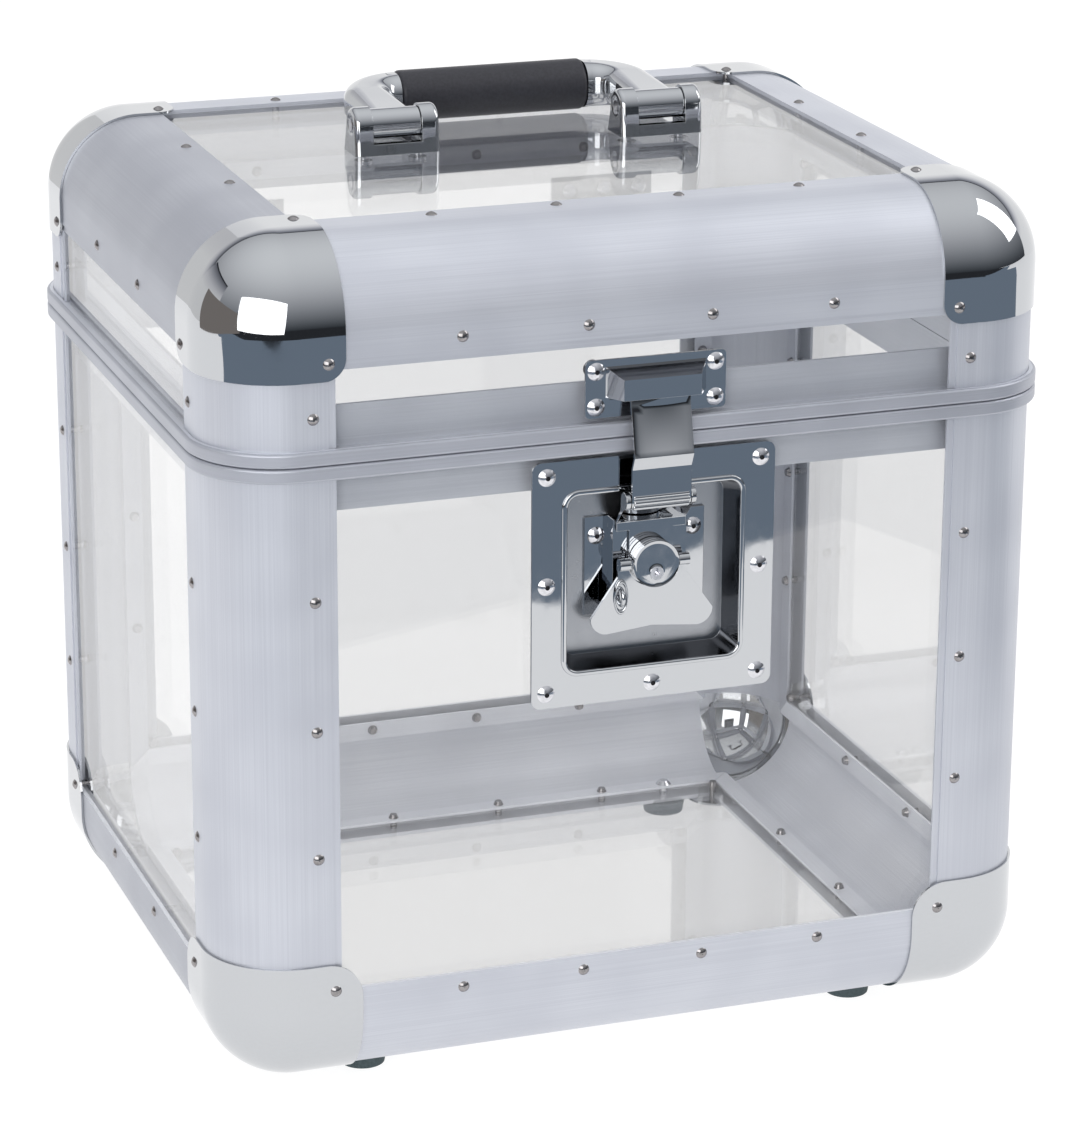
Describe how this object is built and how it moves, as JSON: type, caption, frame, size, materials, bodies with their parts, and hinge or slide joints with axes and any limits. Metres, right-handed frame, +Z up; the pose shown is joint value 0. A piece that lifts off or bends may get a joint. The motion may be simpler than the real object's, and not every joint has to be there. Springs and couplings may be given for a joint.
{
  "type": "clear carrying case",
  "caption": "Clear carrying case with rounded aluminium edges, chrome ball corners, a hinged lid, a recessed butterfly latch on the front and a folding handle on top.",
  "frame": {"origin": "on the floor, under the middle of the case", "axes": "+Z up, +X to the right seen from the front, -Y out of the front with the latch"},
  "size_m": [0.366, 0.3231, 0.3845],
  "materials": {
    "edge_aluminium": "satin anodised extrusion with fine lines along its length",
    "corner_chrome": "polished chrome plate",
    "clear_acrylic": "clear polished acrylic sheet",
    "rivet_steel": "bright plated steel",
    "foot_rubber": "matt black rubber",
    "fitting_chrome": "polished chrome plate on pressed steel",
    "grip_plastic": "near-black satin plastic"
  },
  "bodies": {
    "base": {"base_front_left_post": "edge_aluminium", "base_front_right_post": "edge_aluminium", "base_back_left_post": "edge_aluminium", "base_back_right_post": "edge_aluminium", "bottom_front_rail": "edge_aluminium", "bottom_back_rail": "edge_aluminium", "bottom_left_rail": "edge_aluminium", "bottom_right_rail": "edge_aluminium", "base_front_left_corner": "corner_chrome", "base_front_right_corner": "corner_chrome", "base_back_left_corner": "corner_chrome", "base_back_right_corner": "corner_chrome", "base_front_panel": "clear_acrylic", "base_back_panel": "clear_acrylic", "base_left_panel": "clear_acrylic", "base_right_panel": "clear_acrylic", "bottom_panel": "clear_acrylic", "base_closing_frame": "edge_aluminium", "base_rivets": "rivet_steel", "base_blind_rivets": "rivet_steel", "rubber_feet": "foot_rubber", "latch_dish": "fitting_chrome", "latch_bearing_plate": "fitting_chrome", "hinge_base_leaves": "fitting_chrome", "hinge_pins": "rivet_steel"},
    "lid": {"lid_front_left_post": "edge_aluminium", "lid_front_right_post": "edge_aluminium", "lid_back_left_post": "edge_aluminium", "lid_back_right_post": "edge_aluminium", "top_front_rail": "edge_aluminium", "top_back_rail": "edge_aluminium", "top_left_rail": "edge_aluminium", "top_right_rail": "edge_aluminium", "lid_front_left_corner": "corner_chrome", "lid_front_right_corner": "corner_chrome", "lid_back_left_corner": "corner_chrome", "lid_back_right_corner": "corner_chrome", "lid_front_panel": "clear_acrylic", "lid_back_panel": "clear_acrylic", "lid_left_panel": "clear_acrylic", "lid_right_panel": "clear_acrylic", "top_panel": "clear_acrylic", "lid_closing_frame": "edge_aluminium", "lid_rivets": "rivet_steel", "lid_blind_rivets": "rivet_steel", "keeper": "fitting_chrome", "hinge_lid_leaves": "fitting_chrome", "handle_left_bracket": "fitting_chrome", "handle_right_bracket": "fitting_chrome", "handle_pins": "rivet_steel", "handle_screws": "rivet_steel"},
    "handle": {"handle_left_arm": "fitting_chrome", "handle_right_arm": "fitting_chrome", "handle_grip": "grip_plastic"},
    "latch_turn": {"latch_boss": "fitting_chrome"},
    "latch_lift": {"latch_slide": "fitting_chrome", "latch_hook": "fitting_chrome"},
    "latch_flap": {"latch_wing": "fitting_chrome"},
    "latch_key": {"key_plug": "rivet_steel"}
  },
  "joints": [
    {"name": "lid_hinge", "type": "hinge", "parent": "base", "child": "lid", "pos_m": [0, 0.1582, 0.2762], "axis": [-1, 0, 0], "range_deg": [0, 180]},
    {"name": "handle_fold", "type": "hinge", "parent": "lid", "child": "handle", "pos_m": [0.0025, 0.008, 0.3734], "axis": [1, 0, 0], "range_deg": [0, 90]},
    {"name": "latch_turn", "type": "hinge", "parent": "base", "child": "latch_turn", "pos_m": [0.0025, -0.1515, 0.2215], "axis": [0, -1, 0], "range_deg": [0, 90]},
    {"name": "latch_lift", "type": "slide", "parent": "base", "child": "latch_lift", "axis": [0, 0, 1], "range_m": [0, 0.005]},
    {"name": "wing_flip", "type": "hinge", "parent": "latch_turn", "child": "latch_flap", "pos_m": [0.0025, -0.1509, 0.2215], "axis": [-1, 0, 0], "range_deg": [0, 90]},
    {"name": "key_turn", "type": "hinge", "parent": "latch_turn", "child": "latch_key", "pos_m": [0.0025, -0.1545, 0.2178], "axis": [0, 1, 0], "range_deg": [0, 90]}
  ],
  "couplings": [
    {"joint": "latch_turn", "follows": "latch_lift", "rad_per_m": 314}
  ]
}
